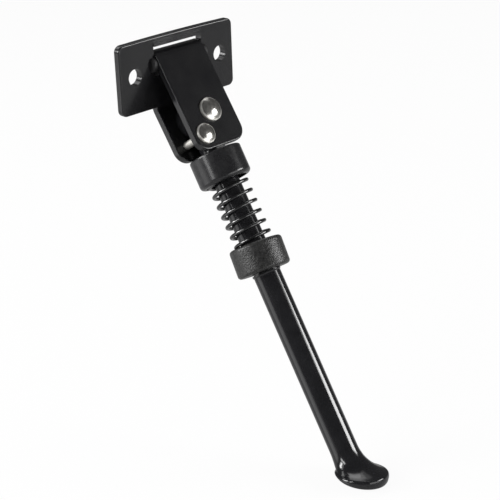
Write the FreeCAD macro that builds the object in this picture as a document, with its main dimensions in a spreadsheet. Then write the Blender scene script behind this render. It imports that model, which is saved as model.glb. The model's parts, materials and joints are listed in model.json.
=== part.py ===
import FreeCAD, Part
import math
import os
import Sketcher

# Electric scooter kickstand, millimetres and degrees.
# Frame: X runs along the mounting plate, +Y points into the scooter's deck, +Z is up.
# The origin is midway between the two bolt holes, on the plate's back face.

SIZES = {
    # mounting plate and the rear cheek folded from the same sheet
    "plate_width": 64.0,
    "plate_height": 29.4,
    "plate_drop": 0.7,
    "plate_corner": 2.8,
    "plate_bow": 0.4,
    "sheet_thick": 3.2,
    "edge_round": 0.7,
    "bolt_spacing": 48.0,
    "bolt_hole": 7.0,
    "bend_drop": 1.55,
    "bend_radius": 2.0,
    # the two cheeks
    "cheek_tilt": 34.0,
    "cheek_width": 26.5,
    "cheek_end": 15.6,
    "cheek_corner": 5.8,
    "clevis_gap": 10.6,
    "pivot_drop": 10.6,
    "pivot_shift": 0.7,
    "root_rise": 29.6,
    "root_bend": 1.5,
    "slot_fit": 0.15,
    "slot_daylight": 2.2,
    "slot_lip": 0.5,
    "cheek_edge": 0.5,
    "weld_leg": 3.4,
    "weld_start": 0.9,
    "weld_crown": 0.45,
    "lump_length": 2.4,
    "lump_half": 3.2,
    "lump_height": 2.3,
    "lump_round": 1.2,
    # rivets
    "rivet_fit": 0.05,
    "head_rim": 1.0,
    "tail_edge": 0.5,
    "pivot_dia": 8.0,
    "pivot_head": 10.2,
    "pivot_dome": 2.6,
    "pivot_tail": 10.4,
    "stop_dia": 3.4,
    "stop_head": 8.6,
    "stop_dome": 2.2,
    "stop_tail": 7.0,
    "tail_height": 1.8,
    "stop_drop": 9.25,
    "stop_clear": 0.35,
    # leg
    "leg_lean": 2.35,
    "eye_dia": 16.0,
    "eye_fit": 0.2,
    "flat_end": 18.2,
    "rod_dia": 11.0,
    "leg_dia": 11.7,
    "shoulder_dia": 12.5,
    "shoulder_height": 0.6,
    "shoulder_taper": 0.5,
    "leg_straight": 149.0,
    "foot_station": 160.75,
    "toe_reach": 4.7,
    "foot_turn": 27.9,
    "foot_roll": 6.0,
    "rim_dia": 21.9,
    "sole_dia": 21.4,
    "sole_depth": 2.6,
    "sole_turn": 7.9,
    "pad_edge": 0.45,
    "pad_land": 0.2,
    "sole_edge": 0.35,
    # spring cup, spring and seat on the rod
    "slide_fit": 0.15,
    "cup_gap": 0.95,
    "cup_dia": 22.7,
    "cup_length": 12.9,
    "cup_roof": 3.0,
    "cup_wall": 2.3,
    "cup_edge": 0.8,
    "cup_lip": 1.8,
    "spring_span": 28.15,
    "spring_dia": 17.2,
    "wire_dia": 1.55,
    "spring_pitch": 4.58,
    "spring_seat_clear": 0.15,
    "spring_start": 92.0,
    "spring_shift": 0.25,
    "spring_shift_dir": -41.0,
    "seat_dia": 22.9,
    "seat_length": 12.4,
    "seat_edge": 1.4,
    "seat_recess": 0.8,
    "seat_recess_dia": 18.4,
    "seat_tilt": 3.4,
    "seat_tilt_dir": 49.0,
    "seat_bore_fit": 0.45,
}

# The expressions below are shared by several pieces, so each is written once.
SIN = "sin(Sizes.cheek_tilt * 1deg)"
COS = "cos(Sizes.cheek_tilt * 1deg)"
CLEVIS_HALF = "(Sizes.clevis_gap / 2 + Sizes.sheet_thick)"
BEND_Z = "(-Sizes.plate_height / 2 - Sizes.plate_drop - Sizes.bend_drop)"
PIVOT_Y = f"(-{SIN} * Sizes.pivot_drop - {COS} * {CLEVIS_HALF})"
PIVOT_Z = f"({BEND_Z} - {COS} * Sizes.pivot_drop + {SIN} * {CLEVIS_HALF})"
TENON_TOP = f"({PIVOT_Z} + {COS} * Sizes.root_rise + {SIN} * {CLEVIS_HALF})"
TENON_LENGTH = f"(-{PIVOT_Y} - {SIN} * Sizes.root_rise + {COS} * {CLEVIS_HALF})"
ROOT_CLIMB = f"((-{PIVOT_Y} - Sizes.sheet_thick + {COS} * Sizes.clevis_gap / 2) / {SIN})"
ROOT_Z = f"({PIVOT_Z} + {COS} * {ROOT_CLIMB} + {SIN} * Sizes.clevis_gap / 2)"
STOP_SIDE = "(Sizes.rod_dia / 2 + Sizes.stop_dia / 2 + Sizes.stop_clear)"
STOP_X = f"(-{STOP_SIDE} * cos(Sizes.leg_lean * 1deg) - Sizes.stop_drop * sin(Sizes.leg_lean * 1deg))"
STOP_Z = f"(-Sizes.stop_drop * cos(Sizes.leg_lean * 1deg) + {STOP_SIDE} * sin(Sizes.leg_lean * 1deg))"
CUP_TOP = "(Sizes.cheek_end + Sizes.cup_gap)"
SPRING_TOP = f"({CUP_TOP} + Sizes.cup_roof)"
SEAT_TOP = f"({CUP_TOP} + Sizes.cup_length + Sizes.spring_span)"
SEAT_LOW = f"({SEAT_TOP} + Sizes.seat_length / 2 * (1 + 1 / cos(Sizes.seat_tilt * 1deg)))"
SHOULDER_TOP = f"({SEAT_LOW} + tan(Sizes.seat_tilt * 1deg) * Sizes.shoulder_dia / 2)"
CHEEK_TURN = "rotation(vector(1; 0; 0); -Sizes.cheek_tilt)"
LEG_TURN = f"{CHEEK_TURN} * rotation(vector(0; 1; 0); Sizes.leg_lean)"
AT_CHEEKS = f"placement(vector(0; {PIVOT_Y}; {PIVOT_Z}); {CHEEK_TURN})"
AT_PIVOT = f"placement(vector(Sizes.pivot_shift; {PIVOT_Y}; {PIVOT_Z}); {LEG_TURN})"

# A cut of this length passes through any piece.
LONG = 200.0

# The foot's flare is a row of round sections at even steps along the leg.
# Each change grows with its own power of the step: reach towards the toe and radius start slowly,
# and the turn to the pad's slope, counted from the pad, ends slowly.
FLARE_STEPS = 8
REACH_POWER = 2.9
GROWTH_POWER = 2.4
TURN_POWER = 1.3


def make_sheet(doc):
    """Put every driving size into a spreadsheet cell with an alias."""
    sheet = doc.addObject("Spreadsheet::Sheet", "Sizes")
    for row, (alias, value) in enumerate(SIZES.items(), 1):
        sheet.set(f"A{row}", alias)
        sheet.set(f"B{row}", str(value))
        sheet.setAlias(f"B{row}", alias)
    doc.recompute()
    return sheet


def new_body(doc, label, placement=None):
    body = doc.addObject("PartDesign::Body", label)
    body.Label = label
    if placement:
        body.setExpression("Placement", placement)
    return body


def new_sketch(body, name, role, offset=None):
    """Sketch on one of the body's own origin planes, moved by an optional placement expression."""
    sketch = body.newObject("Sketcher::SketchObject", name)
    plane = next(f for f in body.Origin.OriginFeatures if f.Role == role)
    sketch.AttachmentSupport = [(plane, "")]
    sketch.MapMode = "FlatFace"
    if offset:
        sketch.setExpression("AttachmentOffset", offset)
    return sketch


def value_of(sketch, expression):
    return float(sketch.evalExpression(expression))


def bind(sketch, expression, *constraint):
    """Add a constraint at the expression's value, and bind it to the expression."""
    index = sketch.addConstraint(Sketcher.Constraint(*constraint, value_of(sketch, expression)))
    sketch.setExpression(f"Constraints[{index}]", expression)


def fix_point(sketch, geometry, end, across, up):
    """Tie a point to the sketch's origin by two bound distances."""
    bind(sketch, across, "DistanceX", -1, 1, geometry, end)
    bind(sketch, up, "DistanceY", -1, 1, geometry, end)


def outward_arc(start, end, radius):
    """Arc that bulges to the right of the way from start to end."""
    chord = end - start
    left = FreeCAD.Vector(-chord.y, chord.x, 0).normalize()
    centre = (start + end) * 0.5 + left * math.sqrt(radius ** 2 - (chord.Length / 2) ** 2)
    first = math.atan2(start.y - centre.y, start.x - centre.x)
    last = math.atan2(end.y - centre.y, end.x - centre.x)
    if last < first:
        last += 2 * math.pi
    return Part.ArcOfCircle(Part.Circle(centre, FreeCAD.Vector(0, 0, 1), radius), first, last)


def add_outline(sketch, corners, arcs=None):
    """Closed outline; a corner is a pair of expressions, and arcs gives radii by edge number."""
    arcs = arcs or {}
    count = len(corners)
    first = sketch.GeometryCount
    spots = [FreeCAD.Vector(value_of(sketch, across), value_of(sketch, up)) for across, up in corners]
    for i in range(count):
        start, end = spots[i], spots[(i + 1) % count]
        if i in arcs:
            index = sketch.addGeometry(outward_arc(start, end, value_of(sketch, arcs[i])))
            bind(sketch, arcs[i], "Radius", index)
        else:
            sketch.addGeometry(Part.LineSegment(start, end))
    for i in range(count):
        following = first + (i + 1) % count
        sketch.addConstraint(Sketcher.Constraint("Coincident", first + i, 2, following, 1))
    for i, (across, up) in enumerate(corners):
        fix_point(sketch, first + i, 1, across, up)


def add_circle(sketch, across, up, radius):
    centre = FreeCAD.Vector(value_of(sketch, across), value_of(sketch, up))
    size = value_of(sketch, radius)
    index = sketch.addGeometry(Part.Circle(centre, FreeCAD.Vector(0, 0, 1), size))
    fix_point(sketch, index, 3, across, up)
    bind(sketch, radius, "Radius", index)


def pad(body, sketch, length, both_sides=False, name="Pad"):
    feature = body.newObject("PartDesign::Pad", name)
    feature.Profile = sketch
    feature.SideType = "Symmetric" if both_sides else "One side"
    feature.setExpression("Length", length)
    return feature


def pocket_both_ways(body, sketch, name="Pocket"):
    """Cut the sketch right through the body, to both sides of the sketch."""
    feature = body.newObject("PartDesign::Pocket", name)
    feature.Profile = sketch
    feature.SideType = "Symmetric"
    feature.Length = LONG
    return feature


def revolve(body, sketch, name="Revolution"):
    feature = body.newObject("PartDesign::Revolution", name)
    feature.Profile = sketch
    feature.ReferenceAxis = (sketch, ["V_Axis"])
    feature.Angle = 360.0
    return feature


def fillet(body, base, radius, wanted, name):
    """Round the edges of the base feature that the test picks."""
    body.Document.recompute()
    edges = [f"Edge{i}" for i, edge in enumerate(base.Shape.Edges, 1)
             if not edge.Degenerated and wanted(edge)]
    if not edges:
        raise ValueError(f"{body.Label}: no edge for {name}")
    feature = body.newObject("PartDesign::Fillet", name)
    feature.Base = (base, edges)
    feature.setExpression("Radius", radius)
    return feature


def runs_along(edge, axis):
    """True for a straight edge parallel to the axis."""
    if edge.Curve.TypeId != "Part::GeomLine":
        return False
    return abs(abs(edge.Curve.Direction.dot(axis)) - 1.0) < 1e-6


def near(value, target):
    return abs(value - target) < 1e-4


def sheet_edge(face_axis, levels):
    """Test for edges that lie wholly in one of the two flat faces of a sheet."""
    def wanted(edge):
        box = edge.BoundBox
        low, high = (box.YMin, box.YMax) if face_axis == "y" else (box.ZMin, box.ZMax)
        return any(near(low, level) and near(high, level) for level in levels)
    return wanted


def cheek_rim(planes, normal, end_level):
    """Test for a cheek's outline edges in its two flat faces, without the seams of its bends."""
    along_x = FreeCAD.Vector(1, 0, 0)

    def wanted(edge):
        spots = [edge.valueAt(edge.FirstParameter), edge.CenterOfMass, edge.valueAt(edge.LastParameter)]
        flat = any(all(near(spot.dot(normal), plane) for spot in spots) for plane in planes)
        seam = runs_along(edge, along_x) and edge.CenterOfMass.z > end_level
        return flat and not seam
    return wanted


def lower_corner(across_sheet, level):
    """Test for the two short edges through the sheet at a cheek's lower end."""
    def wanted(edge):
        return runs_along(edge, across_sheet) and edge.CenterOfMass.z < level
    return wanted


def make_rear_cheek(doc, sheet):
    """The tongue folded down out of the plate's lower edge, with its bend and rounded end."""
    body = new_body(doc, "rear_cheek")
    length = "(Sizes.pivot_drop + Sizes.cheek_end)"
    inner_z = f"({BEND_Z} + Sizes.sheet_thick * tan(Sizes.cheek_tilt * 0.5deg))"
    end_y, end_z = f"(-{SIN} * {length})", f"({BEND_Z} - {COS} * {length})"
    fold = new_sketch(body, "FoldProfile", "YZ_Plane")
    add_outline(fold, [("0", "0"), ("0", BEND_Z), (end_y, end_z),
                       (f"{end_y} - {COS} * Sizes.sheet_thick", f"{end_z} + {SIN} * Sizes.sheet_thick"),
                       ("-Sizes.sheet_thick", inner_z), ("-Sizes.sheet_thick", "0")])
    tongue = pad(body, fold, "Sizes.cheek_width", both_sides=True, name="RearCheek")
    doc.recompute()
    bend_z = -sheet.plate_height / 2 - sheet.plate_drop - sheet.bend_drop
    tilt = math.radians(sheet.cheek_tilt)
    inner_bend_z = bend_z + sheet.sheet_thick * math.tan(tilt / 2)
    along_x = FreeCAD.Vector(1, 0, 0)

    def outer_bend(edge):
        middle = edge.CenterOfMass
        return runs_along(edge, along_x) and near(middle.z, bend_z) and near(middle.y, 0)

    def inner_bend(edge):
        return runs_along(edge, along_x) and near(edge.CenterOfMass.z, inner_bend_z)

    outer = fillet(body, tongue, "Sizes.bend_radius + Sizes.sheet_thick", outer_bend, "OuterBend")
    inner = fillet(body, outer, "Sizes.bend_radius", inner_bend, "InnerBend")
    end_level = bend_z - math.cos(tilt) * (sheet.pivot_drop + sheet.cheek_end - sheet.cheek_corner)
    across_sheet = FreeCAD.Vector(0, -math.cos(tilt), math.sin(tilt))
    corners = fillet(body, inner, "Sizes.cheek_corner", lower_corner(across_sheet, end_level), "CheekCorners")
    rear = math.sin(tilt) * bend_z
    fillet(body, corners, "Sizes.cheek_edge",
           cheek_rim((rear, rear + sheet.sheet_thick), across_sheet, end_level), "CheekRim")
    return body


def make_mounting_plate(doc, sheet):
    """Stamped plate with two bolt holes and a slot; the rear cheek is folded out of its lower edge."""
    tongue = make_rear_cheek(doc, sheet)
    body = new_body(doc, "mounting_plate")
    half_w = "Sizes.plate_width / 2"
    low, high = (f"({sign}Sizes.plate_height / 2 - Sizes.plate_drop)" for sign in ("-", ""))
    outline = new_sketch(body, "PlateOutline", "XZ_Plane")
    top_edge = 2
    add_outline(outline, [(f"-{half_w}", low), (half_w, low), (half_w, high), (f"-{half_w}", high)],
                {top_edge: crown_radius(half_w, "Sizes.plate_bow")})
    plate = pad(body, outline, "Sizes.sheet_thick", name="PlatePad")
    corners = fillet(body, plate, "Sizes.plate_corner",
                     lambda edge: runs_along(edge, FreeCAD.Vector(0, 1, 0)), "PlateCorners")
    fillet(body, corners, "Sizes.edge_round", sheet_edge("y", (0.0, -sheet.sheet_thick)), "PlateRim")
    doc.recompute()
    joined = body.newObject("PartDesign::Boolean", "FoldedSheet")
    joined.setObjects([tongue])
    joined.Type = "Fuse"
    doc.recompute()

    holes = new_sketch(body, "BoltHoles", "XZ_Plane")
    for side in ("-", ""):
        add_circle(holes, f"{side}Sizes.bolt_spacing / 2", "0", "Sizes.bolt_hole / 2")
    half_slot = "(Sizes.cheek_width / 2 + Sizes.slot_fit)"
    slot_low = f"({ROOT_Z} - 2 * Sizes.slot_fit)"
    slot_high = f"({TENON_TOP} + Sizes.slot_daylight)"
    add_outline(holes, [(f"-{half_slot}", slot_low), (half_slot, slot_low),
                        (half_slot, slot_high), (f"-{half_slot}", slot_high)])
    pocket_both_ways(body, holes, "PlateCuts")

    lip = new_sketch(body, "SlotLip", "YZ_Plane")
    face = "-Sizes.sheet_thick"
    add_outline(lip, [(face, slot_high), (face, f"{high} - Sizes.edge_round"),
                      (f"{face} - Sizes.slot_lip", slot_high)])
    pad(body, lip, f"2 * {half_slot}", both_sides=True, name="LipPad")

    rivets = new_sketch(body, "RivetHoles", "XZ_Plane",
                        f"placement(vector(0; {PIVOT_Z}; -{PIVOT_Y}); {CHEEK_TURN})")
    add_rivet_holes(rivets)
    pocket_both_ways(body, rivets, "RivetPocket")
    return body


def add_rivet_holes(sketch):
    """Pivot and stop holes, drawn in the cheeks' own plane."""
    add_circle(sketch, "Sizes.pivot_shift", "0", "Sizes.pivot_dia / 2 + Sizes.rivet_fit")
    add_circle(sketch, f"Sizes.pivot_shift + {STOP_X}", STOP_Z, "Sizes.stop_dia / 2 + Sizes.rivet_fit")


def make_front_cheek(doc, sheet):
    """Bent strip: a tenon through the plate's slot, then a cheek parallel to the rear one."""
    body = new_body(doc, "front_cheek", AT_CHEEKS)
    outer = f"-{CLEVIS_HALF}"
    inner = "-Sizes.clevis_gap / 2"
    bend = "tan((90 - Sizes.cheek_tilt) * 0.5deg)"
    tip_y, tip_z = f"({outer} + {COS} * {TENON_LENGTH})", f"(Sizes.root_rise + {SIN} * {TENON_LENGTH})"
    profile = new_sketch(body, "StripProfile", "YZ_Plane")
    add_outline(profile, [(outer, "Sizes.root_rise"), (tip_y, tip_z),
                          (f"{tip_y} + {SIN} * Sizes.sheet_thick", f"{tip_z} - {COS} * Sizes.sheet_thick"),
                          (inner, f"Sizes.root_rise - Sizes.sheet_thick * {bend}"),
                          (inner, "-Sizes.cheek_end"), (outer, "-Sizes.cheek_end")])
    strip = pad(body, profile, "Sizes.cheek_width", both_sides=True, name="Strip")
    doc.recompute()
    outer_y = -sheet.clevis_gap / 2 - sheet.sheet_thick
    inner_y = -sheet.clevis_gap / 2
    turn = math.tan(math.radians((90 - sheet.cheek_tilt) / 2))
    along_x = FreeCAD.Vector(1, 0, 0)

    def bend_edge(y, z):
        def wanted(edge):
            middle = edge.CenterOfMass
            return runs_along(edge, along_x) and near(middle.y, y) and near(middle.z, z)
        return wanted

    outer_bend = fillet(body, strip, "Sizes.root_bend + Sizes.sheet_thick",
                        bend_edge(outer_y, sheet.root_rise), "OuterBend")
    inner_bend = fillet(body, outer_bend, "Sizes.root_bend",
                        bend_edge(inner_y, sheet.root_rise - sheet.sheet_thick * turn), "InnerBend")
    across_sheet = FreeCAD.Vector(0, 1, 0)
    end_level = -sheet.cheek_end + sheet.cheek_corner
    corners = fillet(body, inner_bend, "Sizes.cheek_corner",
                     lower_corner(across_sheet, end_level), "CheekCorners")
    fillet(body, corners, "Sizes.cheek_edge",
           cheek_rim((outer_y, inner_y), across_sheet, end_level), "CheekRim")
    rivets = new_sketch(body, "RivetHoles", "XZ_Plane")
    add_rivet_holes(rivets)
    pocket_both_ways(body, rivets, "RivetPocket")
    return body


def make_root_weld(doc, sheet):
    """Weld bead in the corner between the plate's face and the front cheek's inner face,
    with a rounded lump beside the cheek at each end, where the bead was started and stopped."""
    body = new_body(doc, "root_weld")
    front = "-Sizes.sheet_thick"
    high, low = "Sizes.weld_start", "(Sizes.weld_start + Sizes.weld_leg)"

    def on_plate(drop):
        return front, f"{ROOT_Z} - {drop}"

    def on_cheek(drop):
        return f"{front} - {SIN} * {drop}", f"{ROOT_Z} - {COS} * {drop}"

    profile = new_sketch(body, "BeadProfile", "YZ_Plane")
    corners = [on_plate(high), on_cheek(high), on_cheek(low), on_plate(low)]
    half_chord = f"{low} * sin(Sizes.cheek_tilt * 0.5deg)"
    free_side = corners.index(on_cheek(low))
    add_outline(profile, corners, {free_side: crown_radius(half_chord, "Sizes.weld_crown")})
    pad(body, profile, "Sizes.cheek_width", both_sides=True, name="Bead")

    at_side = "placement(vector(0; 0; Sizes.cheek_width / 2); rotation(vector(0; 0; 1); 0))"
    outline = new_sketch(body, "LumpProfile", "YZ_Plane", at_side)
    rise = crown_radius("Sizes.lump_half", "Sizes.lump_height")
    tip = f"{front} - Sizes.lump_height"
    add_outline(outline, [(front, f"{ROOT_Z} + Sizes.lump_half"), (tip, ROOT_Z),
                          (front, f"{ROOT_Z} - Sizes.lump_half")], {0: rise, 1: rise})
    lump = pad(body, outline, "Sizes.lump_length", name="Lump")
    doc.recompute()
    end_x = sheet.cheek_width / 2 + sheet.lump_length

    def free_end(edge):
        box = edge.BoundBox
        return near(box.XMin, end_x) and near(box.XMax, end_x) and not near(box.YMin, box.YMax)

    fillet(body, lump, "Sizes.lump_round", free_end, "LumpEnd")
    other_end = body.newObject("PartDesign::Mirrored", "OtherLump")
    other_end.TransformMode = "Whole shape"
    other_end.MirrorPlane = (next(f for f in body.Origin.OriginFeatures if f.Role == "YZ_Plane"), [""])
    body.Tip = other_end
    return body


def crown_radius(half_width, height):
    """Radius of the round cap with this half width and height."""
    return f"(({half_width}) ^ 2 + ({height}) ^ 2) / (2 * ({height}))"


def make_rivet(doc, sheet, label, across, up, shank, head, dome, tail):
    """Steel pin along the pivot axis: domed head on the front cheek, flat upset tail on the rear one."""
    at = (f"placement(vector(Sizes.pivot_shift; {PIVOT_Y}; {PIVOT_Z}); {CHEEK_TURN})"
          f" * placement(vector({across}; 0; {up}); rotation(vector(1; 0; 0); 90))")
    body = new_body(doc, label, at)
    face, foot = CLEVIS_HALF, f"(-{CLEVIS_HALF} - Sizes.tail_height)"
    sketch = new_sketch(body, f"{label}_profile", "XZ_Plane")
    corners = [("0", foot), (f"{tail} / 2", foot), (f"{tail} / 2", f"-{CLEVIS_HALF}"),
               (f"{shank} / 2", f"-{CLEVIS_HALF}"), (f"{shank} / 2", face), (f"{head} / 2", face),
               (f"{head} / 2", f"{face} + Sizes.head_rim"), ("0", f"{face} + {dome}")]
    crown = corners.index((f"{head} / 2", f"{face} + Sizes.head_rim"))
    add_outline(sketch, corners, {crown: crown_radius(f"{head} / 2", f"{dome} - Sizes.head_rim")})
    turned = revolve(body, sketch)
    doc.recompute()
    tail_level = -sheet.clevis_gap / 2 - sheet.sheet_thick - sheet.tail_height

    def tail_rim(edge):
        return edge.Closed and near(edge.CenterOfMass.z, tail_level)

    fillet(body, turned, "Sizes.tail_edge", tail_rim, "TailRim")
    return body


def make_leg(doc):
    """One forging: eye, flattened neck, rod, upset shoulder, thicker leg and a flared foot."""
    body = new_body(doc, "leg", AT_PIVOT)
    rod, leg, shoulder = "Sizes.rod_dia / 2", "Sizes.leg_dia / 2", "Sizes.shoulder_dia / 2"
    ring_low = f"({SHOULDER_TOP} + Sizes.shoulder_height)"
    profile = new_sketch(body, "RodProfile", "XZ_Plane")
    inside_eye = "-Sizes.eye_dia / 4"
    add_outline(profile, [("0", inside_eye), (rod, inside_eye), (rod, f"-{SHOULDER_TOP}"),
                          (shoulder, f"-{SHOULDER_TOP}"),
                          (shoulder, f"-{ring_low}"), (leg, f"-{ring_low} - Sizes.shoulder_taper"),
                          (leg, "-Sizes.leg_straight"), ("0", "-Sizes.leg_straight")])
    revolve(body, profile, "Rod")
    eye = new_sketch(body, "EyeOutline", "XZ_Plane")
    add_circle(eye, "0", "0", "Sizes.eye_dia / 2")
    pad(body, eye, "Sizes.clevis_gap - 2 * Sizes.eye_fit", both_sides=True, name="Eye")

    flats = new_sketch(body, "Flats", "YZ_Plane")
    inside, outside = "(Sizes.clevis_gap / 2 - Sizes.eye_fit)", "Sizes.rod_dia"
    low, high = "-Sizes.flat_end", "Sizes.eye_dia"
    for side in ("-", ""):
        add_outline(flats, [(f"{side}{inside}", low), (f"{side}{outside}", low),
                            (f"{side}{outside}", high), (f"{side}{inside}", high)])
    pocket_both_ways(body, flats, "NeckFlats")
    bore = new_sketch(body, "PivotBore", "XZ_Plane")
    add_circle(bore, "0", "0", "Sizes.pivot_dia / 2 + Sizes.rivet_fit")
    pocket_both_ways(body, bore, "PivotBorePocket")

    loft = body.newObject("PartDesign::AdditiveLoft", "Flare")
    sections = flare_sections(body)
    loft.Profile = sections[0]
    loft.Sections = sections[1:]
    doc.recompute()

    sole = body.newObject("PartDesign::AdditiveLoft", "FootPad")
    discs = pad_discs(body)
    sole.Profile = discs[0]
    sole.Sections = discs[1:]
    return body


def foot_frame(depth, turn):
    """Sketch offset on the XY plane: the pad's top, sunk by a depth and turned further."""
    return (f"placement(vector(0; -Sizes.toe_reach; -Sizes.foot_station);"
            f" rotation(vector(1; 0; 0); Sizes.foot_turn) * rotation(vector(0; 1; 0); Sizes.foot_roll))"
            f" * placement(vector(0; 0; -{depth}); rotation(vector(1; 0; 0); {turn}))")


def pad_discs(body):
    """The pad's top face, its rim, and its sole, which is nearly level and so turned further.
    The loft through them rounds the upper and the lower edge."""
    discs = []
    for name, radius, depth, turn in (
            ("PadTop", "Sizes.rim_dia / 2 - Sizes.pad_edge", "0", "0"),
            ("PadRim", "Sizes.rim_dia / 2", "Sizes.pad_edge", "0"),
            ("PadLow", "Sizes.sole_dia / 2", "(Sizes.sole_depth - Sizes.sole_edge)", "Sizes.sole_turn"),
            ("PadSole", "Sizes.sole_dia / 2 - Sizes.sole_edge", "Sizes.sole_depth", "Sizes.sole_turn")):
        disc = new_sketch(body, name, "XY_Plane", foot_frame(depth, turn))
        add_circle(disc, "0", "0", radius)
        discs.append(disc)
    return discs


def flare_sections(body):
    """Round sections that turn from square to the leg to the pad's own slope while they grow into the pad."""
    leg, pad_top = "Sizes.leg_dia / 2", "(Sizes.rim_dia / 2 - Sizes.pad_edge - Sizes.pad_land)"
    free = "(Sizes.foot_station - Sizes.leg_straight)"
    sections = []
    for step in range(FLARE_STEPS + 1):
        share = step / FLARE_STEPS
        reach, growth = share ** REACH_POWER, share ** GROWTH_POWER
        level = 1 - (1 - share) ** TURN_POWER
        at = (f"placement(vector(0; -{reach} * Sizes.toe_reach; -Sizes.leg_straight - {share} * {free});"
              f" rotation(vector(1; 0; 0); {level} * Sizes.foot_turn)"
              f" * rotation(vector(0; 1; 0); {level} * Sizes.foot_roll))")
        sketch = new_sketch(body, f"FlareSection{step}", "XY_Plane", at)
        add_circle(sketch, "0", "0", f"{leg} + {growth} * ({pad_top} - {leg})")
        sections.append(sketch)
    return sections


def make_spring_cup(doc, sheet):
    """Turned cup that slides on the rod and presses against the ends of the cheeks."""
    body = new_body(doc, "spring_cup", AT_PIVOT)
    bore, outer = "(Sizes.rod_dia / 2 + Sizes.slide_fit)", "Sizes.cup_dia / 2"
    hollow = f"({outer} - Sizes.cup_wall)"
    low = f"(-{CUP_TOP} - Sizes.cup_length)"
    sketch = new_sketch(body, "CupProfile", "XZ_Plane")
    add_outline(sketch, [(bore, f"-{CUP_TOP}"), (outer, f"-{CUP_TOP}"), (outer, low), (hollow, low),
                         (hollow, f"-{SPRING_TOP}"), (bore, f"-{SPRING_TOP}")])
    turned = revolve(body, sketch)
    doc.recompute()
    outside = round_edge(sheet.cup_dia / 2)
    middle = turned.Shape.BoundBox.Center.z
    upper = fillet(body, turned, "Sizes.cup_edge",
                   lambda edge: outside(edge) and edge.CenterOfMass.z > middle, "CupTopEdge")
    fillet(body, upper, "Sizes.cup_lip",
           lambda edge: outside(edge) and edge.CenterOfMass.z < middle - sheet.cup_lip, "CupLip")
    return body


def round_edge(radius):
    """Test for full circles of one radius."""
    def wanted(edge):
        return edge.Curve.TypeId == "Part::GeomCircle" and near(edge.Curve.Radius, radius)
    return wanted


def make_spring(doc):
    """Round-wire compression spring, from the cup's roof to the seat."""
    aside, back = (f"Sizes.spring_shift * {part}(Sizes.spring_shift_dir * 1deg)" for part in ("cos", "sin"))
    body = new_body(doc, "spring", f"{AT_PIVOT} * placement(vector({aside}; {back}; 0);"
                                   " rotation(vector(0; 0; 1); Sizes.spring_start))")
    wire, clear = "Sizes.wire_dia / 2", "Sizes.spring_seat_clear"
    mean = f"(Sizes.spring_dia / 2 - {wire})"
    sketch = new_sketch(body, "WireSection", "XZ_Plane")
    low = f"({SEAT_TOP} + Sizes.seat_recess - {wire} - {clear})"
    add_circle(sketch, mean, f"-{low}", wire)
    helix = body.newObject("PartDesign::AdditiveHelix", "Coil")
    helix.Profile = sketch
    helix.ReferenceAxis = (sketch, ["V_Axis"])
    helix.Mode = "pitch-height-angle"
    helix.setExpression("Pitch", "Sizes.spring_pitch")
    helix.setExpression("Height", f"{low} - {SPRING_TOP} - {wire} - {clear}")
    return body


def make_spring_seat(doc, sheet):
    """Moulded rubber ring on the shoulder; its body leans a little on the rod, as the spring presses it,
    and a shallow recess in its top holds the spring's end."""
    body = new_body(doc, "spring_seat", AT_PIVOT)
    lean = (f"placement(vector(0; 0; -{SEAT_TOP} - Sizes.seat_length / 2);"
            " rotation(vector(0; 0; 1); Sizes.seat_tilt_dir) * rotation(vector(1; 0; 0); Sizes.seat_tilt))")
    disc = new_sketch(body, "SeatOutline", "XY_Plane", lean)
    add_circle(disc, "0", "0", "Sizes.seat_dia / 2")
    ring = pad(body, disc, "Sizes.seat_length", both_sides=True, name="Ring")
    doc.recompute()
    fillet(body, ring, "Sizes.seat_edge", round_edge(sheet.seat_dia / 2), "SeatEdges")
    doc.recompute()
    bore = new_sketch(body, "SeatBore", "XY_Plane")
    add_circle(bore, "0", "0", "Sizes.rod_dia / 2 + Sizes.seat_bore_fit")
    pocket_both_ways(body, bore, "BorePocket")
    floor = f"placement(vector(0; 0; -{SEAT_TOP} - Sizes.seat_recess); rotation(vector(0; 0; 1); 0))"
    recess = new_sketch(body, "SpringRecess", "XY_Plane", floor)
    add_circle(recess, "0", "0", "Sizes.seat_recess_dia / 2")
    cut = body.newObject("PartDesign::Pocket", "RecessPocket")
    cut.Profile = recess
    cut.Reversed = True
    cut.setExpression("Length", "Sizes.seat_length")
    return body


def export(doc, bodies):
    """Check every object, then write one STEP file for each piece."""
    doc.recompute()
    for item in doc.Objects:
        if "Invalid" in item.State or "Error" in item.State:
            raise RuntimeError(f"{item.Label} failed: {item.State}")
    os.makedirs("parts", exist_ok=True)
    for body in bodies:
        shape = body.Shape
        if shape.isNull() or not shape.isValid() or len(shape.Solids) != 1:
            raise RuntimeError(f"{body.Label} is not one valid solid")
        print(f"{body.Label}: {shape.Volume:.1f} mm3")
        shape.exportStep(f"parts/{body.Label}.step")


def main():
    doc = FreeCAD.newDocument("Kickstand")
    sheet = make_sheet(doc)
    bodies = [
        make_mounting_plate(doc, sheet),
        make_front_cheek(doc, sheet),
        make_root_weld(doc, sheet),
        make_rivet(doc, sheet, "pivot_rivet", "0", "0", "Sizes.pivot_dia", "Sizes.pivot_head",
                   "Sizes.pivot_dome", "Sizes.pivot_tail"),
        make_rivet(doc, sheet, "stop_rivet", STOP_X, STOP_Z, "Sizes.stop_dia", "Sizes.stop_head",
                   "Sizes.stop_dome", "Sizes.stop_tail"),
        make_leg(doc),
        make_spring_cup(doc, sheet),
        make_spring(doc),
        make_spring_seat(doc, sheet),
    ]
    export(doc, bodies)


main()
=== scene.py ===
import json
import math

import bpy
import numpy as np
from mathutils import Matrix, Vector


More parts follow.
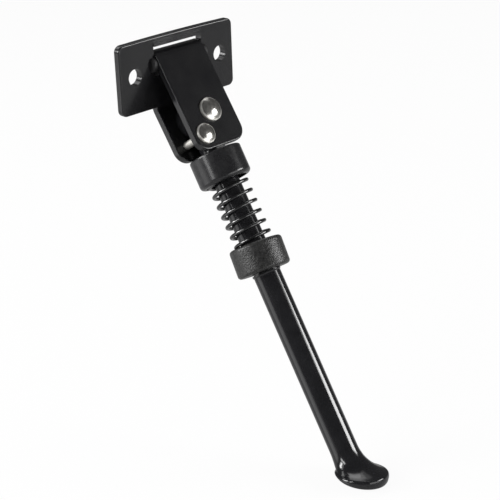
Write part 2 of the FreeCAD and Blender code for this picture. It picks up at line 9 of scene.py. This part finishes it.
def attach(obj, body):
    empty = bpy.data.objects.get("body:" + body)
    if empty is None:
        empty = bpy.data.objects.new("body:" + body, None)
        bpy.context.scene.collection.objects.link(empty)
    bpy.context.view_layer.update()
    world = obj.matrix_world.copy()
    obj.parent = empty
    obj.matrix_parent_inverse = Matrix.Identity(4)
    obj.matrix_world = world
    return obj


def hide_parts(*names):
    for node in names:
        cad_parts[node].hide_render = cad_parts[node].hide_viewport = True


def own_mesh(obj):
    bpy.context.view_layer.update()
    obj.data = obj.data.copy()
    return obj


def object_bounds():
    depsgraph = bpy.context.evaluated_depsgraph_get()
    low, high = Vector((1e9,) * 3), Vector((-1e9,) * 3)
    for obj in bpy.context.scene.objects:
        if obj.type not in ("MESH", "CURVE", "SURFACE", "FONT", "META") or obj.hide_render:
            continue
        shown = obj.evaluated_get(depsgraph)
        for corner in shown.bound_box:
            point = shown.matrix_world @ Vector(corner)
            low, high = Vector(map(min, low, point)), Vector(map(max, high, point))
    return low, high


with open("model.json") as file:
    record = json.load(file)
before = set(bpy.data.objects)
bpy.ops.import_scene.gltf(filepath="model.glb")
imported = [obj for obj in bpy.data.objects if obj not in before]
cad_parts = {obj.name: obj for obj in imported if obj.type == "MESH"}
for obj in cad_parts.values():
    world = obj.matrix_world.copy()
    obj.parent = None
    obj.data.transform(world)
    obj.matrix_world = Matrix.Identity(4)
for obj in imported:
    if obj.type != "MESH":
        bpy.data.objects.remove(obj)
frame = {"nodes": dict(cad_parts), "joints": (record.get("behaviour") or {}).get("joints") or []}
cad_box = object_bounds()
nodes = frame["nodes"]
joints = {joint["name"]: joint for joint in frame["joints"]}
scene = bpy.context.scene
scene.view_settings.view_transform = "Standard"

MM = 0.001

# The camera's place and axes in the part's own frame, from the photograph's perspective.
CAMERA_AT = Vector((-364.03, -400.01, 144.97)) * MM
CAMERA_RIGHT = Vector((0.6921, -0.7211, -0.0311))
CAMERA_FORWARD = Vector((0.6550, 0.6456, -0.3927))
IMAGE_SIDE = 500.0
FOCAL_PIXELS = 1326.0
SENSOR_MM = 36.0
NEAR_CLIP = 0.01

# The floor: its gap under the foot and half its side in metres, and its share of plain white to the eye.
FLOOR_GAP = 0.0003
FLOOR_HALF = 4.0
FLOOR_WHITE = 0.94

# What gloss mirrors besides the lamps: a dim room, a pale ground, and a brighter pool on the ground's left.
# The ground's edges are heights of a direction. The pool's are cosines to the direction of its middle.
ROOM_LIGHT = 0.1
GROUND_LIGHT = 0.5
GROUND_FULL = -0.18
GROUND_EDGE = -0.05
POOL_MIDDLE = (-0.806, 0.491, -0.331)
POOL_LIGHT = 1.1
POOL_EDGE = 0.92
POOL_FULL = 0.995

# The lamps face this point from this distance, in metres. A row is a soft box's name, its azimuth, elevation,
# width and height in degrees, and its radiance.
LAMP_AIM = Vector((0.0, -0.05, -0.07))
LAMP_DISTANCE = 1.2
LAMPS = [
    ("right soft box", -50.0, 16.7, 25.0, 13.4, 17.0),
    ("right soft box upper edge", -50.0, 25.0, 25.0, 3.2, 4.5),
    ("right soft box glow", -50.0, 27.8, 25.0, 2.4, 1.5),
    ("low right soft box", -83.0, 3.0, 46.0, 26.0, 2.4),
    ("left card", 172.0, 25.0, 10.0, 31.0, 10.0),
    ("left soft box", 143.0, 21.0, 26.0, 30.0, 2.5),
    ("left lamp", 146.5, 18.5, 27.0, 13.0, 19.0),
    ("top soft box", 54.0, 58.0, 26.0, 14.0, 1.7),
    ("top soft box surround", 54.0, 57.0, 38.0, 22.0, 1.2),
    ("top soft box glow", 53.0, 56.0, 50.0, 29.0, 0.6),
    ("top left card", 97.0, 41.0, 28.0, 8.0, 2.5),
]

# The leg's own axes: down the leg, across it in the swing's plane, and out along the pivot.
PIVOT = Vector(joints["leg_swing"]["pos_m"])
PIVOT_AXIS = Vector(joints["leg_swing"]["axis"]).normalized()
DOWN_LEG = Vector(joints["cup_slide"]["axis"]).normalized()
ACROSS_LEG = PIVOT_AXIS.cross(DOWN_LEG).normalized()

# Half the gap between the cheeks, and the step over which a rivet's turned shank gives way to its polish,
# in millimetres.
CHEEK_INSIDE = 5.3
SHANK_STEP = 0.3

# A rivet head's burnished rim starts and is full at these shares of the head's radius. The rim and the shank
# are rougher than the head by RIVET_SCATTER.
RIM_START = 0.87
RIM_FULL = 0.95
RIVET_SCATTER = 0.36

# At scale 1 a wave texture repeats once in this length of its coordinate.
WAVE_PERIOD = 2 * math.pi / 20

# The spring's wire, in millimetres from the pivot down the leg. Angles are in degrees, and azimuths are about
# the leg, from ACROSS_LEG.
SPRING_TOP = 19.7
SPRING_FOOT = 58.25
SPRING_PITCH = 4.58
SPRING_START = 92.0
WIRE_DIA = 1.55
COIL_DIA = 17.2
SPRING_SHIFT = 0.25
SPRING_SIDE = -41.0
COIL_LEAN_TOP = 0.5
COIL_LEAN_FOOT = 3.1
RINGS_PER_TURN = 72
WIRE_SIDES = 20


def linear(hex_colour):
    """sRGB hex to linear RGBA: each channel is undone by the sRGB transfer curve."""
    channels = [int(hex_colour[i:i + 2], 16) / 255 for i in (1, 3, 5)]
    return [c / 12.92 if c <= 0.04045 else ((c + 0.055) / 1.055) ** 2.4 for c in channels] + [1.0]


def add_node(tree, kind, settings=None, links=None):
    """Add a node, set its properties and input values, and link sockets into its inputs. A name stands for a
    property or an input, and a number for an input's place."""
    node = tree.nodes.new(kind)
    for name, value in (settings or {}).items():
        if isinstance(name, int) or name in node.inputs:
            node.inputs[name].default_value = value
        else:
            setattr(node, name, value)
    for name, socket in (links or {}).items():
        tree.links.new(socket, node.inputs[name])
    return node


def new_material(name):
    """A material with a Principled shader on its output."""
    material = bpy.data.materials.new(name)
    material.use_nodes = True
    tree = material.node_tree
    return material, tree, tree.nodes["Principled BSDF"]


def set_material(obj, material):
    """Give an object this one material."""
    obj.data.materials.clear()
    obj.data.materials.append(material)


def per_mm(size_mm):
    """Texture scale that gives features of about this size, on Object coordinates in metres."""
    return 1.0 / (size_mm * MM)


def satin_black_paint():
    """Sprayed satin paint on folded sheet: an even dark skin with a faint orange peel and soft highlights."""
    material, tree, shader = new_material("satin black paint on folded steel sheet")
    place = add_node(tree, "ShaderNodeTexCoord")
    cloud = add_node(tree, "ShaderNodeTexNoise", {"Scale": per_mm(9.0), "Detail": 3.0},
                     {"Vector": place.outputs["Object"]})
    tone = add_node(tree, "ShaderNodeValToRGB", None, {"Fac": cloud.outputs["Fac"]})
    tone.color_ramp.elements[0].position = 0.3
    tone.color_ramp.elements[0].color = linear("#18181a")
    tone.color_ramp.elements[1].position = 0.7
    tone.color_ramp.elements[1].color = linear("#1f1f20")
    peel = add_node(tree, "ShaderNodeTexNoise", {"Scale": per_mm(0.9), "Detail": 2.0},
                    {"Vector": place.outputs["Object"]})
    skin = add_node(tree, "ShaderNodeBump", {"Strength": 0.12, "Distance": 0.05 * MM},
                    {"Height": peel.outputs["Fac"]})
    rough = add_node(tree, "ShaderNodeMapRange", {"To Min": 0.14, "To Max": 0.2},
                     {"Value": cloud.outputs["Fac"]})
    tree.links.new(tone.outputs["Color"], shader.inputs["Base Color"])
    tree.links.new(rough.outputs["Result"], shader.inputs["Roughness"])
    tree.links.new(skin.outputs["Normal"], shader.inputs["Normal"])
    return material


def gloss_black_paint(name, dark, pale, roughness, ior):
    """Stoved gloss paint on round steel: nearly black, with a flowed skin that mirrors the lamps and the
    ground."""
    material, tree, shader = new_material(name)
    place = add_node(tree, "ShaderNodeTexCoord")
    cloud = add_node(tree, "ShaderNodeTexNoise", {"Scale": per_mm(6.0), "Detail": 2.0},
                     {"Vector": place.outputs["Object"]})
    tone = add_node(tree, "ShaderNodeValToRGB", None, {"Fac": cloud.outputs["Fac"]})
    tone.color_ramp.elements[0].position = 0.35
    tone.color_ramp.elements[0].color = linear(dark)
    tone.color_ramp.elements[1].position = 0.75
    tone.color_ramp.elements[1].color = linear(pale)
    wave = add_node(tree, "ShaderNodeTexNoise", {"Scale": per_mm(4.0), "Detail": 1.0},
                    {"Vector": place.outputs["Object"]})
    skin = add_node(tree, "ShaderNodeBump", {"Strength": 0.1, "Distance": 0.06 * MM},
                    {"Height": wave.outputs["Fac"]})
    tree.links.new(tone.outputs["Color"], shader.inputs["Base Color"])
    tree.links.new(skin.outputs["Normal"], shader.inputs["Normal"])
    shader.inputs["Roughness"].default_value = roughness
    shader.inputs["IOR"].default_value = ior
    return material


def satin_cup_coating():
    """Smooth dark coating on a turned cup: soft highlights along its length over a faint mottle."""
    material, tree, shader = new_material("satin black coating on turned steel")
    place = add_node(tree, "ShaderNodeTexCoord")
    mottle = add_node(tree, "ShaderNodeTexNoise", {"Scale": per_mm(2.2), "Detail": 3.0},
                      {"Vector": place.outputs["Object"]})
    tone = add_node(tree, "ShaderNodeValToRGB", None, {"Fac": mottle.outputs["Fac"]})
    tone.color_ramp.elements[0].position = 0.3
    tone.color_ramp.elements[0].color = linear("#1b1b1d")
    tone.color_ramp.elements[1].position = 0.75
    tone.color_ramp.elements[1].color = linear("#262627")
    rough = add_node(tree, "ShaderNodeMapRange", {"To Min": 0.2, "To Max": 0.25},
                     {"Value": mottle.outputs["Fac"]})
    skin = add_node(tree, "ShaderNodeBump", {"Strength": 0.03, "Distance": 0.06 * MM},
                    {"Height": mottle.outputs["Fac"]})
    tree.links.new(tone.outputs["Color"], shader.inputs["Base Color"])
    tree.links.new(rough.outputs["Result"], shader.inputs["Roughness"])
    tree.links.new(skin.outputs["Normal"], shader.inputs["Normal"])
    return material


def grainy_rubber():
    """Moulded rubber: dull, with a pebbled grain from the mould and paler scuffs on the high points."""
    material, tree, shader = new_material("moulded black rubber")
    place = add_node(tree, "ShaderNodeTexCoord")
    grain = add_node(tree, "ShaderNodeTexVoronoi", {"Scale": per_mm(0.65)},
                     {"Vector": place.outputs["Object"]})
    cloud = add_node(tree, "ShaderNodeTexNoise", {"Scale": per_mm(1.2), "Detail": 5.0, "Roughness": 0.7},
                     {"Vector": place.outputs["Object"]})
    tone = add_node(tree, "ShaderNodeValToRGB", None, {"Fac": cloud.outputs["Fac"]})
    tone.color_ramp.elements[0].position = 0.38
    tone.color_ramp.elements[0].color = linear("#181818")
    tone.color_ramp.elements[1].position = 0.68
    tone.color_ramp.elements[1].color = linear("#333332")
    rough = add_node(tree, "ShaderNodeMapRange", {"To Min": 0.28, "To Max": 0.46},
                     {"Value": cloud.outputs["Fac"]})
    pebbles = add_node(tree, "ShaderNodeBump", {"Strength": 0.6, "Distance": 0.14 * MM},
                       {"Height": grain.outputs["Distance"]})
    skin = add_node(tree, "ShaderNodeBump", {"Strength": 0.6, "Distance": 0.17 * MM},
                    {"Height": cloud.outputs["Fac"], "Normal": pebbles.outputs["Normal"]})
    tree.links.new(tone.outputs["Color"], shader.inputs["Base Color"])
    tree.links.new(rough.outputs["Result"], shader.inputs["Roughness"])
    tree.links.new(skin.outputs["Normal"], shader.inputs["Normal"])
    return material


def rivet_head(node):
    """A rivet's middle and its head's radius: halfway between its outermost points, and half the distance
    between them, along two directions square to the pivot's axis. Along it the middle is the pivot's own."""
    mesh = nodes[node].data
    points = np.empty(len(mesh.vertices) * 3)
    mesh.vertices.foreach_get("co", points)
    points = points.reshape(-1, 3)
    axis = np.array(PIVOT_AXIS)
    level = np.array((1.0, 0.0, 0.0))
    upright = np.cross(axis, level)
    across = points @ level
    along = points @ upright
    middle = ((across.max() + across.min()) / 2 * level + (along.max() + along.min()) / 2 * upright
              + np.dot(np.array(PIVOT), axis) * axis)
    return Vector(middle), float(across.max() - across.min()) / 2


def bright_zinc(name, middle, head_radius):
    """Bright zinc plating on a headed rivet: the domed head is a soft mirror with faint handling marks. Its
    rim, burnished by the rivet set, and the turned shank between the cheeks scatter light."""
    material, tree, shader = new_material(name)
    place = add_node(tree, "ShaderNodeTexCoord")
    cloud = add_node(tree, "ShaderNodeTexNoise", {"Scale": per_mm(1.6), "Detail": 4.0},
                     {"Vector": place.outputs["Object"]})
    tone = add_node(tree, "ShaderNodeValToRGB", None, {"Fac": cloud.outputs["Fac"]})
    tone.color_ramp.elements[0].position = 0.3
    tone.color_ramp.elements[0].color = linear("#b8b6b1")
    tone.color_ramp.elements[1].position = 0.7
    tone.color_ramp.elements[1].color = linear("#dddbd6")
    from_middle = add_node(tree, "ShaderNodeVectorMath", {"operation": "SUBTRACT", 1: middle},
                           {0: place.outputs["Object"]})
    along = add_node(tree, "ShaderNodeVectorMath", {"operation": "DOT_PRODUCT", 1: PIVOT_AXIS},
                     {0: from_middle.outputs["Vector"]})
    depth = add_node(tree, "ShaderNodeMath", {"operation": "ABSOLUTE"}, {0: along.outputs["Value"]})
    shank = add_node(tree, "ShaderNodeMapRange",
                     {"From Min": CHEEK_INSIDE * MM, "From Max": (CHEEK_INSIDE + SHANK_STEP) * MM,
                      "To Min": RIVET_SCATTER, "To Max": 0.0},
                     {"Value": depth.outputs["Value"]})
    outward = add_node(tree, "ShaderNodeVectorMath", {"operation": "CROSS_PRODUCT", 1: PIVOT_AXIS},
                       {0: from_middle.outputs["Vector"]})
    reach = add_node(tree, "ShaderNodeVectorMath", {"operation": "LENGTH"}, {0: outward.outputs["Vector"]})
    rim = add_node(tree, "ShaderNodeMapRange",
                   {"interpolation_type": "SMOOTHSTEP", "From Min": RIM_START * head_radius,
                    "From Max": RIM_FULL * head_radius, "To Min": 0.0, "To Max": RIVET_SCATTER},
                   {"Value": reach.outputs["Value"]})
    worn = add_node(tree, "ShaderNodeMapRange", {"To Min": 0.16, "To Max": 0.26},
                    {"Value": cloud.outputs["Fac"]})
    scatter = add_node(tree, "ShaderNodeMath", {"operation": "ADD"},
                       {0: shank.outputs["Result"], 1: rim.outputs["Result"]})
    rough = add_node(tree, "ShaderNodeMath", {"operation": "ADD"},
                     {0: scatter.outputs["Value"], 1: worn.outputs["Result"]})
    skin = add_node(tree, "ShaderNodeBump", {"Strength": 0.03, "Distance": 0.03 * MM},
                    {"Height": cloud.outputs["Fac"]})
    tree.links.new(tone.outputs["Color"], shader.inputs["Base Color"])
    tree.links.new(rough.outputs["Value"], shader.inputs["Roughness"])
    tree.links.new(skin.outputs["Normal"], shader.inputs["Normal"])
    shader.inputs["Metallic"].default_value = 1.0
    return material


def painted_weld():
    """Hand-laid weld bead under the same paint: duller than the sheet and darker than it, the darker tone
    being painted shade of the crease at the cheek's root, with the bead's fine ripples.
    """
    material, tree, shader = new_material("black paint over steel weld bead")
    place = add_node(tree, "ShaderNodeTexCoord")
    ripple = add_node(tree, "ShaderNodeTexWave",
                      {"Scale": per_mm(1.3) * WAVE_PERIOD, "Distortion": 2.5, "Detail": 2.0},
                      {"Vector": place.outputs["Object"]})
    spatter = add_node(tree, "ShaderNodeTexNoise", {"Scale": per_mm(0.8), "Detail": 3.0},
                       {"Vector": place.outputs["Object"]})
    # The base is darker than the sheet's paint, though the paint is the same: painted shade of the crease at
    # the cheek's root.
    tone = add_node(tree, "ShaderNodeValToRGB", None, {"Fac": spatter.outputs["Fac"]})
    tone.color_ramp.elements[0].position = 0.35
    tone.color_ramp.elements[0].color = linear("#0f0f10")
    tone.color_ramp.elements[1].position = 0.7
    tone.color_ramp.elements[1].color = linear("#171718")
    ridges = add_node(tree, "ShaderNodeBump", {"Strength": 0.5, "Distance": 0.15 * MM},
                      {"Height": ripple.outputs["Fac"]})
    skin = add_node(tree, "ShaderNodeBump", {"Strength": 0.4, "Distance": 0.1 * MM},
                    {"Height": spatter.outputs["Fac"], "Normal": ridges.outputs["Normal"]})
    tree.links.new(tone.outputs["Color"], shader.inputs["Base Color"])
    tree.links.new(skin.outputs["Normal"], shader.inputs["Normal"])
    shader.inputs["Roughness"].default_value = 0.62
    return material


def grid_mesh(name, points):
    """Mesh from a grid of points (rings by sides), closed round each ring and capped at both ends.
    Each quad joins a point with its right and upper neighbours; each cap is a fan about the ring's mean."""
    rings, sides, _ = points.shape
    ring, side = np.meshgrid(np.arange(rings - 1), np.arange(sides), indexing="ij")
    following = (side + 1) % sides
    quads = np.stack([ring * sides + side, ring * sides + following,
                      (ring + 1) * sides + following, (ring + 1) * sides + side], -1).reshape(-1, 4)
    ends = np.stack([points[0].mean(0), points[-1].mean(0)])
    vertices = np.concatenate([points.reshape(-1, 3), ends])
    first = rings * sides
    last = first + 1
    around = np.arange(sides)
    beside = (around + 1) % sides
    top = (rings - 1) * sides
    caps = [np.stack([beside, around, np.full(sides, first)], -1),
            np.stack([top + around, top + beside, np.full(sides, last)], -1)]
    faces = quads.tolist() + np.concatenate(caps).tolist()
    mesh = bpy.data.meshes.new(name)
    mesh.from_pydata(vertices.tolist(), [], faces)
    mesh.polygons.foreach_set("use_smooth", [True] * len(mesh.polygons))
    mesh.update()
    return mesh


def spring_wire():
    """Right-handed helix of round wire: the centre line climbs one pitch a turn about the leg's axis, each
    coil leans towards one side by an angle that grows from the cup to the seat, and a circle of the wire's
    radius is carried along the line, square to it."""
    turns = (SPRING_FOOT - SPRING_TOP - WIRE_DIA) / SPRING_PITCH
    climb = np.linspace(0.0, turns, int(turns * RINGS_PER_TURN))
    turn = climb * 2 * math.pi + math.radians(SPRING_START)
    radius = (COIL_DIA - WIRE_DIA) / 2
    lean = np.radians(COIL_LEAN_FOOT + (COIL_LEAN_TOP - COIL_LEAN_FOOT) * climb / turns)
    side = math.radians(SPRING_SIDE)
    height = (SPRING_FOOT - WIRE_DIA / 2 - SPRING_PITCH * climb
              + radius * np.tan(lean) * np.cos(turn - side))
    across = np.array(ACROSS_LEG)
    back = -np.array(PIVOT_AXIS)
    radial = np.outer(np.cos(turn), across) + np.outer(np.sin(turn), back)
    shift = (math.cos(side) * across + math.sin(side) * back) * SPRING_SHIFT
    centre = np.array(PIVOT) + (radial * radius + shift + np.outer(height, np.array(DOWN_LEG))) * MM
    tangent = np.gradient(centre, axis=0)
    tangent /= np.linalg.norm(tangent, axis=1)[:, None]
    binormal = np.cross(tangent, radial)
    binormal /= np.linalg.norm(binormal, axis=1)[:, None]
    round_wire = np.linspace(0.0, 2 * math.pi, WIRE_SIDES, endpoint=False)
    ring = (np.cos(round_wire)[None, :, None] * radial[:, None, :]
            + np.sin(round_wire)[None, :, None] * binormal[:, None, :])
    points = centre[:, None, :] + ring * (WIRE_DIA / 2 * MM)
    return grid_mesh("spring wire", points)


def pale_stage_material():
    """Matte white board: plain white to the eye with the object's faint shadow. A mirrored ray goes on
    to the world's own pale ground, so that gloss shows it alike from every height."""
    material, tree, shader = new_material("matte white board")
    shader.inputs["Base Color"].default_value = linear("#f4f4f4")
    shader.inputs["Roughness"].default_value = 0.9
    path = add_node(tree, "ShaderNodeLightPath")
    share = add_node(tree, "ShaderNodeMath", {"operation": "MULTIPLY", 1: FLOOR_WHITE},
                     {0: path.outputs["Is Camera Ray"]})
    white = add_node(tree, "ShaderNodeEmission", {"Color": linear("#ffffff"), "Strength": 1.0})
    board = add_node(tree, "ShaderNodeMixShader", None,
                     {"Fac": share.outputs["Value"], 1: shader.outputs["BSDF"], 2: white.outputs["Emission"]})
    mirrored = add_node(tree, "ShaderNodeMath", {"operation": "MAXIMUM"},
                        {0: path.outputs["Is Glossy Ray"], 1: path.outputs["Is Transmission Ray"]})
    clear = add_node(tree, "ShaderNodeBsdfTransparent")
    mixed = add_node(tree, "ShaderNodeMixShader", None,
                     {"Fac": mirrored.outputs["Value"], 1: board.outputs["Shader"], 2: clear.outputs["BSDF"]})
    tree.links.new(mixed.outputs["Shader"], tree.nodes["Material Output"].inputs["Surface"])
    return material


def make_stage():
    """A flat square floor under the object, wide enough to fill the view."""
    low = cad_box[0][2] - FLOOR_GAP
    corners = [(x * FLOOR_HALF, y * FLOOR_HALF, low) for x, y in ((-1, -1), (1, -1), (1, 1), (-1, 1))]
    mesh = bpy.data.meshes.new("floor")
    mesh.from_pydata(corners, [], [(0, 1, 2, 3)])
    floor = bpy.data.objects.new("floor", mesh)
    scene.collection.objects.link(floor)
    set_material(floor, pale_stage_material())


def make_world():
    """Dim room above a pale ground that is brightest on the left. Seen directly it is white all round."""
    world = bpy.data.worlds.new("studio")
    scene.world = world
    world.use_nodes = True
    tree = world.node_tree
    room = tree.nodes["Background"]
    room.inputs["Color"].default_value = linear("#ffffff")
    place = add_node(tree, "ShaderNodeTexCoord")
    toward = add_node(tree, "ShaderNodeSeparateXYZ", None, {"Vector": place.outputs["Generated"]})
    ground = add_node(tree, "ShaderNodeMapRange",
                      {"interpolation_type": "SMOOTHSTEP", "From Min": GROUND_FULL,
                       "From Max": GROUND_EDGE, "To Min": GROUND_LIGHT, "To Max": ROOM_LIGHT},
                      {"Value": toward.outputs["Z"]})
    aside = add_node(tree, "ShaderNodeVectorMath", {"operation": "DOT_PRODUCT", 1: POOL_MIDDLE},
                     {0: place.outputs["Generated"]})
    pool = add_node(tree, "ShaderNodeMapRange",
                    {"interpolation_type": "SMOOTHSTEP", "From Min": POOL_EDGE,
                     "From Max": POOL_FULL, "To Min": 0.0, "To Max": POOL_LIGHT},
                    {"Value": aside.outputs["Value"]})
    pale = add_node(tree, "ShaderNodeMath", {"operation": "ADD"},
                    {0: ground.outputs["Result"], 1: pool.outputs["Result"]})
    path = add_node(tree, "ShaderNodeLightPath")
    mirrored = add_node(tree, "ShaderNodeMath", {"operation": "MAXIMUM"},
                        {0: path.outputs["Is Glossy Ray"], 1: path.outputs["Is Transmission Ray"]})
    glow = add_node(tree, "ShaderNodeMath", {"operation": "MULTIPLY"},
                    {0: mirrored.outputs["Value"], 1: pale.outputs["Value"]})
    seen = add_node(tree, "ShaderNodeMath", {"operation": "MAXIMUM"},
                    {0: path.outputs["Is Camera Ray"], 1: glow.outputs["Value"]})
    level = add_node(tree, "ShaderNodeMath", {"operation": "MAXIMUM", 1: ROOM_LIGHT},
                     {0: seen.outputs["Value"]})
    tree.links.new(level.outputs["Value"], room.inputs["Strength"])


def add_lamp(name, azimuth, elevation, wide, tall, radiance):
    """Soft box that faces the object's middle from an azimuth (from +X towards +Y) and an elevation,
    and takes up the given width and height of the view from there. All angles are in degrees."""
    turn = math.radians(azimuth)
    lift = math.radians(elevation)
    direction = Vector((math.cos(turn) * math.cos(lift), math.sin(turn) * math.cos(lift), math.sin(lift)))
    lamp = bpy.data.lights.new(name, "AREA")
    lamp.shape = "RECTANGLE"
    lamp.size = 2 * LAMP_DISTANCE * math.tan(math.radians(wide / 2))
    lamp.size_y = 2 * LAMP_DISTANCE * math.tan(math.radians(tall / 2))
    lamp.energy = radiance * lamp.size * lamp.size_y * math.pi
    obj = bpy.data.objects.new(name, lamp)
    scene.collection.objects.link(obj)
    obj.location = LAMP_AIM + direction * LAMP_DISTANCE
    obj.rotation_euler = direction.to_track_quat("Z", "Y").to_euler()
    obj.visible_camera = False


def make_camera():
    """Camera on the photograph's own perspective: its axes are right, up and backwards."""
    data = bpy.data.cameras.new("camera")
    data.sensor_width = SENSOR_MM
    data.lens = FOCAL_PIXELS / IMAGE_SIDE * SENSOR_MM
    data.clip_start = NEAR_CLIP
    forward = CAMERA_FORWARD.normalized()
    right = (CAMERA_RIGHT - forward * CAMERA_RIGHT.dot(forward)).normalized()
    up = right.cross(forward)
    turn = Matrix((right, up, -forward)).transposed()
    camera = bpy.data.objects.new("camera", data)
    camera.matrix_world = Matrix.Translation(CAMERA_AT) @ turn.to_4x4()
    scene.collection.objects.link(camera)
    scene.camera = camera


bracket_paint = satin_black_paint()
leg_paint = gloss_black_paint("gloss black paint on forged steel", "#18181a", "#1e1e20", 0.13, 1.5)
spring_paint = gloss_black_paint("gloss black paint on spring wire", "#101011", "#171718", 0.14, 1.8)
cup_coating = satin_cup_coating()
seat_rubber = grainy_rubber()
pivot_plating = bright_zinc("bright zinc plating on pivot rivet", *rivet_head("pivot_rivet"))
stop_plating = bright_zinc("bright zinc plating on stop rivet", *rivet_head("stop_rivet"))
weld_paint = painted_weld()

finishes = {
    "mounting_plate": bracket_paint,
    "front_cheek": bracket_paint,
    "root_weld": weld_paint,
    "pivot_rivet": pivot_plating,
    "stop_rivet": stop_plating,
    "leg": leg_paint,
    "spring_cup": cup_coating,
    "spring_seat": seat_rubber,
}
for piece, finish in finishes.items():
    set_material(nodes[piece], finish)

spring = bpy.data.objects.new("spring_coil", spring_wire())
scene.collection.objects.link(spring)
set_material(spring, spring_paint)
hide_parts("spring")
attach(spring, "leg")
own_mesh(spring)

make_stage()
make_world()
for lamp_row in LAMPS:
    add_lamp(*lamp_row)
make_camera()
